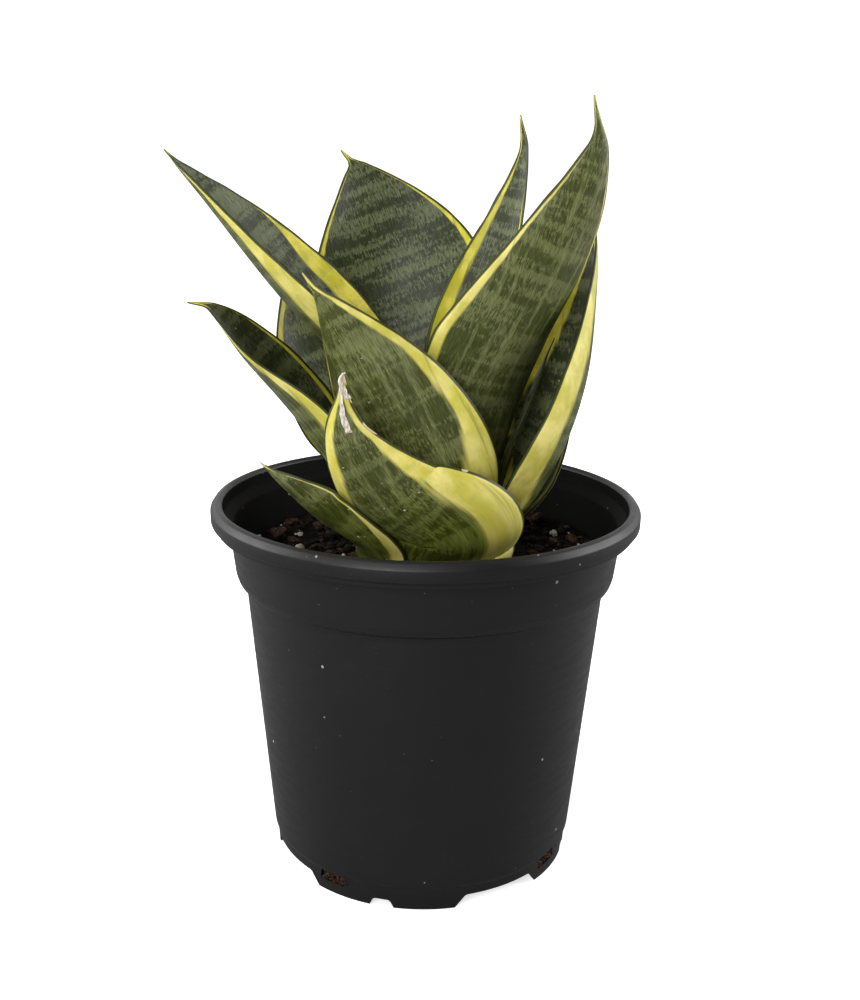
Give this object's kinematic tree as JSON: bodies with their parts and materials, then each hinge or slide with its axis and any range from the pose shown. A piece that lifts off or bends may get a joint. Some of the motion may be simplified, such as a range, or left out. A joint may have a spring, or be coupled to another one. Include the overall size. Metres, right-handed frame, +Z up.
{
  "type": "potted snake plant",
  "caption": "Bird's-nest snake plant: a rosette of broad, channelled, yellow-edged leaves in bark potting mix, in a thin black nursery pot with a rolled rim and cut-away foot ring.",
  "frame": {"origin": "on the ground, under the middle of the whole plant's bounding box; the pot's vertical axis stands 6.3 mm towards +X of it", "axes": "+Z up along the pot's axis; -Y is the front that is usually seen; +X to the right seen from the front"},
  "size_m": [0.1705, 0.158, 0.2792],
  "materials": {
    "pot_plastic": "satin moulded black plastic with faint dust",
    "potting_mix": "rough, crumbly bark and peat mix",
    "leaf": "fleshy satin leaf, dark green with pale cross-bands and broad yellow margins",
    "bark": "rough split bark",
    "perlite": "matt porous white grains"
  },
  "bodies": {
    "root": {"pot": "pot_plastic", "potting_mix": "potting_mix", "leaf_back_slender": "leaf", "leaf_left_long": "leaf", "leaf_right_tall": "leaf", "leaf_back_broad": "leaf", "leaf_heart_strip": "leaf", "leaf_front_middle": "leaf", "leaf_right_channel": "leaf", "leaf_back_left": "leaf", "leaf_left_middle": "leaf", "leaf_back_low": "leaf", "leaf_front_wide": "leaf", "leaf_right_back_low": "leaf", "leaf_front_low": "leaf", "bark_chip_1": "bark", "bark_chip_2": "bark", "bark_chip_3": "bark", "bark_chip_4": "bark", "bark_chip_5": "bark", "bark_chip_6": "bark", "bark_chip_7": "bark", "bark_chip_8": "bark", "bark_chip_9": "bark", "bark_chip_10": "bark", "perlite_grain_1": "perlite", "perlite_grain_2": "perlite", "perlite_grain_3": "perlite", "perlite_grain_4": "perlite", "perlite_grain_5": "perlite", "perlite_grain_6": "perlite"}
  },
  "joints": []
}
